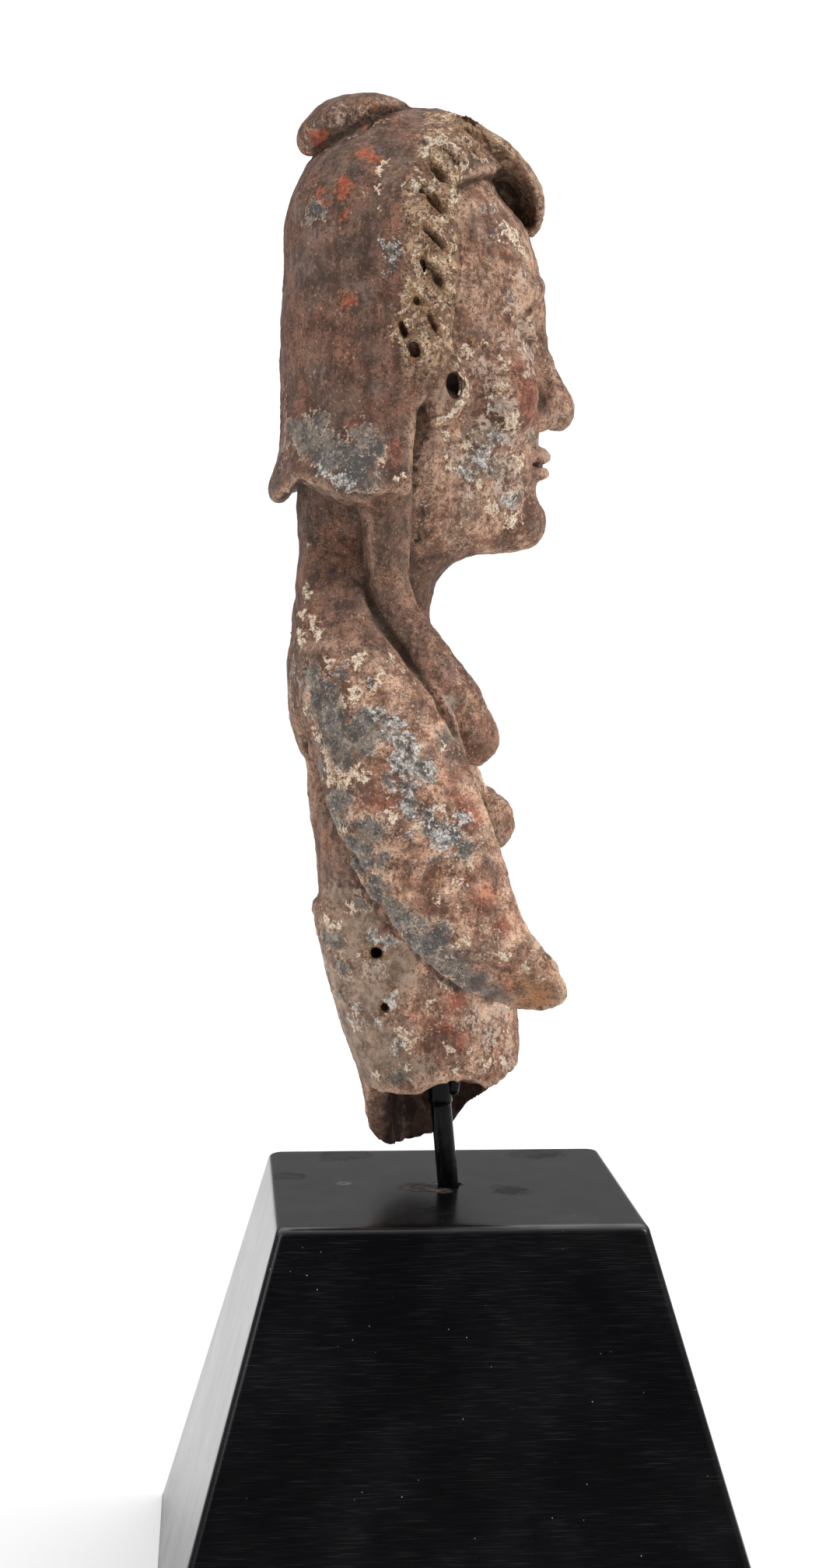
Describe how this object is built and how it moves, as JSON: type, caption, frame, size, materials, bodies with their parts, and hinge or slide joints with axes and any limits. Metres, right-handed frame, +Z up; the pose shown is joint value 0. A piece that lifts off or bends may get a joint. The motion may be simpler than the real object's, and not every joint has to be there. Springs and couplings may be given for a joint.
{
  "type": "pretty lady figurine on display stand",
  "caption": "Hand-modelled clay bust of a woman with capped hair, broken at the waist and forearms, held by a leaning rod on a tapered black block.",
  "frame": {"origin": "middle of the block's underside", "axes": "+Z up, the woman faces -Y, her right side is at -X"},
  "size_m": [0.0896, 0.0896, 0.2295],
  "materials": {
    "clay": "matt unglazed grey-brown earthenware with worn red pigment, cream and grey crusts and fine pores",
    "rod_coating": "glossy black coating",
    "black_lacquer": "satin to gloss black lacquer with fine scratches"
  },
  "bodies": {
    "root": {"figurine": "clay", "rod": "rod_coating", "base": "black_lacquer"}
  },
  "joints": []
}
